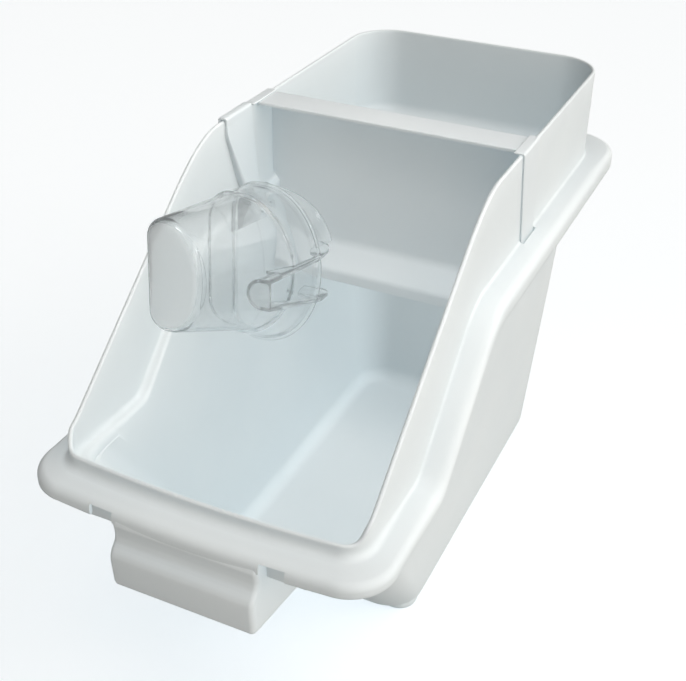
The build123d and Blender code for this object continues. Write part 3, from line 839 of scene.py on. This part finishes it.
def plate_inner(upper, y):
    """Inner edge of a plate: inside the cup wall along the cup, then turning out behind the mouth."""
    if y < 66:
        return 77.0
    wall_x = scoop_values(min(y, 135))[0] - (1.6 if upper else 3.5)
    if y < 131:
        return wall_x
    low = 70.0 if upper else 56.0
    return wall_x + (low - wall_x) * smooth((y - 131) / 6)


def grip_plate(name, upper):
    """Upper or lower plate of the grip, with a rounded rear outer corner."""
    ys = list(np.arange(GRIP[0], 65.5, 6.0)) + [65.9, 66.1] + list(np.arange(70, 134, 6.0))
    ys += list(np.linspace(134, GRIP[1], 12))
    r = GRIP_CORNER_R
    loops = []
    for y in ys:
        z = plate_height(upper, y)
        out = GRIP_OUT
        if y > GRIP[1] - r:
            out -= r - math.sqrt(max(r * r - (y - GRIP[1] + r) ** 2, 0.0))
        inner = plate_inner(upper, y)
        loops.append(np.array([(inner, y, z - PLATE / 2), (out, y, z - PLATE / 2), (out, y, z + PLATE / 2),
                               (inner, y, z + PLATE / 2)]))
    return bevel(skin(name, loops, cap_first=True, cap_last=True), 0.8, 3, 50.0)


def grip_trough():
    """Front end of the grip: an end wall whose inner end is rounded, and the round bottom behind it."""
    up, low = plate_height(True, 41) + PLATE / 2, plate_height(False, 41) - PLATE / 2
    mid, r = (up + low) / 2, (up - low) / 2
    cx = TROUGH_X + r
    outline = [(GRIP_OUT, up)] + [(cx + r * math.cos(math.radians(a)), mid + r * math.sin(math.radians(a)))
                                  for a in np.linspace(90, 270, 19)] + [(GRIP_OUT, low)]
    wall = prism("grip_end", outline, GRIP[0], GRIP[0] + PLATE, "Y")
    bevel(wall, 0.8, 3, 50.0)
    loops = []
    for y in np.linspace(41.5, 66, 8):
        top, bottom = plate_height(True, y) + PLATE / 2, plate_height(False, y) - PLATE / 2
        middle, radius = (top + bottom) / 2, (top - bottom) / 2
        centre = TROUGH_X + radius
        ring = [(centre + radius * math.cos(a), y, middle + radius * math.sin(a))
                for a in np.radians(np.linspace(90, 270, 19))]
        thin = radius - PLATE
        ring += [(centre + thin * math.cos(a), y, middle + thin * math.sin(a))
                 for a in np.radians(np.linspace(270, 90, 19))]
        loops.append(np.array(ring))
    trough = skin("grip_bottom", loops, cap_first=True, cap_last=True)
    return wall, trough


def guard_lip():
    """Lip that leaves the mouth at its top and sweeps out and back to the upper plate's rear corner."""
    width, height, drop, _ = scoop_values(MOUTH_Y)
    y0, thick = 133.5, 1.9
    cx, rx, half = width * (1 - ROUND_SHARE), width * ROUND_SHARE, height / 2
    end = math.degrees(math.asin((drop - 4.0) / half))
    loops = []
    for t in np.linspace(0, 1, 30):
        a = math.radians(96 - (96 - end) * t)
        n = np.array([math.cos(a), math.sin(a)])
        base = np.array([cx + rx * math.cos(a), half * math.sin(a)])
        out = 0.8 + 5.2 * smooth(t * 1.2)
        tip = base + n * out
        back = 18.0 * smooth(t) + 1.0
        direction = np.array([tip[0] - base[0], back, tip[1] - base[1]])
        direction /= np.linalg.norm(direction)
        side = np.cross(direction, np.array([-math.sin(a), 0, math.cos(a)]))
        side /= np.linalg.norm(side)
        p = np.array([base[0], y0, base[1] - drop])
        q = np.array([tip[0], y0 + back, tip[1] - drop])
        loops.append(np.array([p - side * thick / 2, q - side * thick / 2, q + side * thick / 2,
                               p + side * thick / 2]))
    return bevel(skin("guard_lip", loops, cap_first=True, cap_last=True), 0.8, 3, 50.0)


def hanging_tab():
    """Tab behind the flat side with the slot that drops over the hook's tongue."""
    start, end = TAB_YS
    corners = [(start, 0.0), (end, 0.0), (end, TAB_HEIGHT), (start, TAB_HEIGHT)]
    outline = rounded_path(corners, (TAB_CORNER_R, TAB_CORNER_R), 8)
    tab = prism("scoop_tab", [tuple(p) for p in outline], 0.0, SCOOP_WALL, "X")
    bevel(tab, 0.6, 3, 50.0)
    tab.data.transform(scoop_matrix())
    slot = block("slot", (TAB_SLOT_XS[0], TONGUE_Y - TAB_SLOT_HALF, TAB_SLOT_ZS[0]),
                 (TAB_SLOT_XS[1], TONGUE_Y + TAB_SLOT_HALF, TAB_SLOT_ZS[1]))
    return cut(tab, [slot])


def scoop_pieces():
    """Cup, grip and hanging tab, each put in its place on the hook."""
    wall, trough = grip_trough()
    plates = [grip_plate("upper_plate", True), grip_plate("lower_plate", False)]
    grip = join("scoop_grip", [*plates, wall, trough, guard_lip()])
    cup = scoop_cup()
    for obj in (grip, cup):
        obj.data.transform(scoop_matrix())
    return cup, grip, hanging_tab()


def add_node(tree, kind, values=None, **settings):
    """New shader node with its own settings, and with its inputs set by name or number."""
    node = tree.nodes.new("ShaderNode" + kind)
    for key, value in settings.items():
        setattr(node, key, value)
    for key, value in (values or {}).items():
        node.inputs[key].default_value = value
    return node


def wire(tree, *links):
    """Link nodes; each link is a source, its output, a target and its input."""
    for source, output, target, entry in links:
        tree.links.new(source.outputs[output], target.inputs[entry])


def new_material(name):
    """Node material that holds only an output."""
    mat = bpy.data.materials.new(name)
    mat.use_nodes = True
    mat.node_tree.nodes.clear()
    return mat, mat.node_tree, add_node(mat.node_tree, "OutputMaterial")


def soft_rays(tree):
    """Node whose value is 1 on shadow and diffuse rays and 0 on all others."""
    path = add_node(tree, "LightPath")
    either = add_node(tree, "Math", operation="MAXIMUM")
    wire(tree, (path, "Is Shadow Ray", either, 0), (path, "Is Diffuse Ray", either, 1))
    return either


def white_plastic(name, base, rough, speckle, soak):
    """Satin moulded polypropylene: fine grain, flow marks, light scuffs; soak is the light it lets by."""
    mat, tree, out = new_material(name)
    coord = add_node(tree, "TexCoord")
    flow = add_node(tree, "TexNoise", {"Scale": 9.0, "Detail": 4.0})
    grain = add_node(tree, "TexNoise", {"Scale": 900.0, "Detail": 2.0})
    scuff = add_node(tree, "TexNoise", {"Scale": 38.0, "Detail": 8.0, "Distortion": 1.4})
    tone = add_node(tree, "ValToRGB")
    dull, clean = tone.color_ramp.elements
    dull.position, clean.position = 0.35, 0.65
    dull.color = (base[0] * 0.975, base[1] * 0.98, base[2] * 0.985, 1)
    clean.color = (*base, 1)
    worn = add_node(tree, "MapRange",
                    {"From Min": 0.45, "From Max": 0.72, "To Min": rough, "To Max": rough + 0.16})
    bump = add_node(tree, "Bump", {"Strength": speckle, "Distance": 0.00012})
    wave = add_node(tree, "Bump", {"Strength": 0.25, "Distance": 0.0012})
    plastic = add_node(tree, "BsdfPrincipled", {"IOR": 1.48})
    through = add_node(tree, "BsdfTransparent", {"Color": THROUGH_COLOUR})
    share = add_node(tree, "Math", {1: soak}, operation="MULTIPLY")
    mix = add_node(tree, "MixShader")
    wire(tree,
         (coord, "Object", flow, "Vector"), (coord, "Object", grain, "Vector"),
         (coord, "Object", scuff, "Vector"), (flow, "Fac", tone, "Fac"), (scuff, "Fac", worn, "Value"),
         (grain, "Fac", bump, "Height"), (flow, "Fac", wave, "Height"), (bump, "Normal", wave, "Normal"),
         (tone, "Color", plastic, "Base Color"), (worn, "Result", plastic, "Roughness"),
         (wave, "Normal", plastic, "Normal"), (soft_rays(tree), "Value", share, 0),
         (share, "Value", mix, "Fac"), (plastic, "BSDF", mix, 1), (through, "BSDF", mix, 2),
         (mix, "Shader", out, "Surface"))
    return mat


def clear_plastic(name, frost, milk):
    """Slightly milky clear polycarbonate: part glass, part see-through, part soft white."""
    mat, tree, out = new_material(name)
    coord = add_node(tree, "TexCoord")
    haze = add_node(tree, "TexNoise", {"Scale": 60.0, "Detail": 6.0})
    rough = add_node(tree, "MapRange",
                     {"From Min": 0.4, "From Max": 0.75, "To Min": frost, "To Max": frost + 0.08})
    bump = add_node(tree, "Bump", {"Strength": 0.08, "Distance": 0.0006})
    glass = add_node(tree, "BsdfGlass", {"Color": (0.995, 0.997, 0.997, 1), "IOR": 1.45})
    through = add_node(tree, "BsdfTransparent", {"Color": (0.985, 0.987, 0.987, 1)})
    white = add_node(tree, "BsdfDiffuse", {"Color": (0.86, 0.88, 0.88, 1)})
    body = add_node(tree, "MixShader", {"Fac": SEE_THROUGH_SHARE})
    milky = add_node(tree, "MixShader", {"Fac": milk})
    final = add_node(tree, "MixShader")
    wire(tree,
         (coord, "Object", haze, "Vector"), (haze, "Fac", rough, "Value"), (haze, "Fac", bump, "Height"),
         (rough, "Result", glass, "Roughness"), (bump, "Normal", glass, "Normal"),
         (glass, "BSDF", body, 1), (through, "BSDF", body, 2), (body, "Shader", milky, 1),
         (white, "BSDF", milky, 2), (soft_rays(tree), "Value", final, "Fac"), (milky, "Shader", final, 1),
         (through, "BSDF", final, 2), (final, "Shader", out, "Surface"))
    return mat


def assign(obj, mat):
    """Give the object one material and no other."""
    obj.data.materials.clear()
    obj.data.materials.append(mat)


def area_light(name, place, target, side, power, spread):
    """Square lamp at a place, turned towards a target."""
    data = bpy.data.lights.new(name, "AREA")
    data.shape = "RECTANGLE"
    data.size = data.size_y = side
    data.energy = power
    data.spread = math.radians(spread)
    obj = bpy.data.objects.new(name, data)
    bpy.context.scene.collection.objects.link(obj)
    obj.location = place
    obj.rotation_mode = "QUATERNION"
    obj.rotation_quaternion = (Vector(target) - Vector(place)).to_track_quat("-Z", "Y")


def add_camera():
    """Camera that looks at the target from its azimuth and elevation, turned by its roll."""
    a, e = math.radians(CAMERA_AZIMUTH), math.radians(CAMERA_ELEVATION)
    back = Vector((math.sin(a) * math.cos(e), -math.cos(a) * math.cos(e), math.sin(e)))
    right = Vector((math.cos(a), math.sin(a), 0))
    up = back.cross(right)
    c, s = math.cos(math.radians(CAMERA_ROLL)), math.sin(math.radians(CAMERA_ROLL))
    across, above = right * c + up * s, up * c - right * s
    data = bpy.data.cameras.new("camera")
    data.lens = CAMERA_LENS
    data.clip_start = CAMERA_NEAR
    obj = bpy.data.objects.new("camera", data)
    bpy.context.scene.collection.objects.link(obj)
    place = CAMERA_TARGET + back * CAMERA_DISTANCE
    obj.matrix_world = Matrix((
        (across.x, above.x, back.x, place.x),
        (across.y, above.y, back.y, place.y),
        (across.z, above.z, back.z, place.z),
        (0, 0, 0, 1)))
    bpy.context.scene.camera = obj


def add_floor():
    """Pale floor, nearly white to the camera and darker as a reflector."""
    mesh = bpy.data.meshes.new("floor")
    reach = FLOOR_REACH
    mesh.from_pydata([(-reach, -reach, 0), (reach, -reach, 0), (reach, reach, 0), (-reach, reach, 0)], [],
                     [(0, 1, 2, 3)])
    obj = bpy.data.objects.new("floor", mesh)
    bpy.context.scene.collection.objects.link(obj)
    mat, tree, out = new_material("pale_floor")
    matt = add_node(tree, "BsdfPrincipled",
                    {"Roughness": 0.9, "Specular IOR Level": 0.1, "Emission Color": (1, 1, 1, 1)})
    path = add_node(tree, "LightPath")
    tone = add_node(tree, "Mix", {"A": FLOOR_REFLECTS, "B": FLOOR_SEEN}, data_type="RGBA")
    glow = add_node(tree, "Math", {1: FLOOR_GLOW}, operation="MULTIPLY")
    wire(tree,
         (path, "Is Camera Ray", tone, "Factor"), (path, "Is Camera Ray", glow, 0),
         (tone, "Result", matt, "Base Color"), (glow, "Value", matt, "Emission Strength"),
         (matt, "BSDF", out, "Surface"))
    assign(obj, mat)


def add_world():
    """White to the camera; for everything else brightest from the right and above, dim elsewhere."""
    world = bpy.data.worlds.new("studio")
    world.use_nodes = True
    tree = world.node_tree
    tree.nodes.clear()
    out = add_node(tree, "OutputWorld")
    seen = add_node(tree, "Background", {"Color": (1.0, 1.0, 1.0, 1), "Strength": 1.05})
    coord = add_node(tree, "TexCoord")
    facing = add_node(tree, "VectorMath", {1: LIGHT_SLOPE}, operation="DOT_PRODUCT")
    level = add_node(tree, "Math", {1: LIGHT_MEAN}, operation="ADD")
    power = add_node(tree, "Math", {1: LIGHT_LEAST}, operation="MAXIMUM")
    split = add_node(tree, "SeparateXYZ")
    tint = add_node(tree, "ValToRGB")
    below, above = tint.color_ramp.elements
    below.color, above.color = TINT_BELOW, TINT_ABOVE
    lit = add_node(tree, "Background")
    path = add_node(tree, "LightPath")
    mix = add_node(tree, "MixShader")
    wire(tree,
         (coord, "Generated", facing, 0), (facing, "Value", level, 0), (level, "Value", power, 0),
         (coord, "Generated", split, 0), (split, "Z", tint, "Fac"), (tint, "Color", lit, "Color"),
         (power, "Value", lit, "Strength"), (path, "Is Camera Ray", mix, "Fac"),
         (lit, "Background", mix, 1), (seen, "Background", mix, 2), (mix, "Shader", out, "Surface"))
    bpy.context.scene.world = world


def attach(obj, mat, body, slot_name, *nodes):
    """Finish a piece: its material, the body it rides and the CAD nodes it stands for; slot_name is not used.
    """
    assign(obj, mat)
    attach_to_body(obj, body)
    if nodes:
        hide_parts(*nodes)


def frost_end(cup, mat):
    """Give the cup's end face its own material."""
    cup.data.materials.append(mat)
    own_frame = scoop_matrix().inverted()
    for face in cup.data.polygons:
        if (own_frame @ face.center).y < END_FACE_DEPTH:
            face.material_index = 1


def build_pieces():
    """Every visible piece, with its material, on its body."""
    white = white_plastic("white_polypropylene_look", (0.90, 0.915, 0.90), 0.40, 0.25, 0.84)
    divider_mat = white_plastic("divider_look", (0.89, 0.905, 0.895), 0.42, 0.25, 0.6)
    hook_mat = white_plastic("hook_look", (0.885, 0.91, 0.905), 0.38, 0.2, 0.1)
    clear = clear_plastic("clear_polycarbonate_look", 0.01, 0.03)
    frosted = clear_plastic("frosted_end_look", 0.28, 0.3)
    attach(open_tub(), white, "tub", "white_polypropylene", "bin_body")
    attach(pull_block(), white, "tub", "white_polypropylene")
    attach(webs(), white, "tub", "white_polypropylene")
    attach(feet(), white, "tub", "white_polypropylene")
    attach(divider_bar(), divider_mat, "divider", "divider_plastic", "divider")
    attach(baffle_sheet(), divider_mat, "divider", "divider_plastic")
    hook = join("scoop_hook_look", [hook_clip(), hook_shank(), hook_tongue()])
    attach(hook, hook_mat, "hook", "hook_plastic", "scoop_hook")
    cup, grip, tab = scoop_pieces()
    attach(cup, clear, "scoop", "clear_polycarbonate", "scoop")
    frost_end(cup, frosted)
    attach(grip, clear, "scoop", "clear_polycarbonate")
    attach(tab, clear, "scoop", "clear_polycarbonate")


def main():
    """Pieces, camera, floor and lights."""
    build_pieces()
    add_camera()
    add_floor()
    add_world()
    for lamp in AREA_LIGHTS:
        area_light(*lamp)
    scene = bpy.context.scene
    scene.view_settings.view_transform = "Standard"
    scene.cycles.max_bounces = 20
    scene.cycles.transmission_bounces = 20
    scene.cycles.transparent_max_bounces = 24


main()
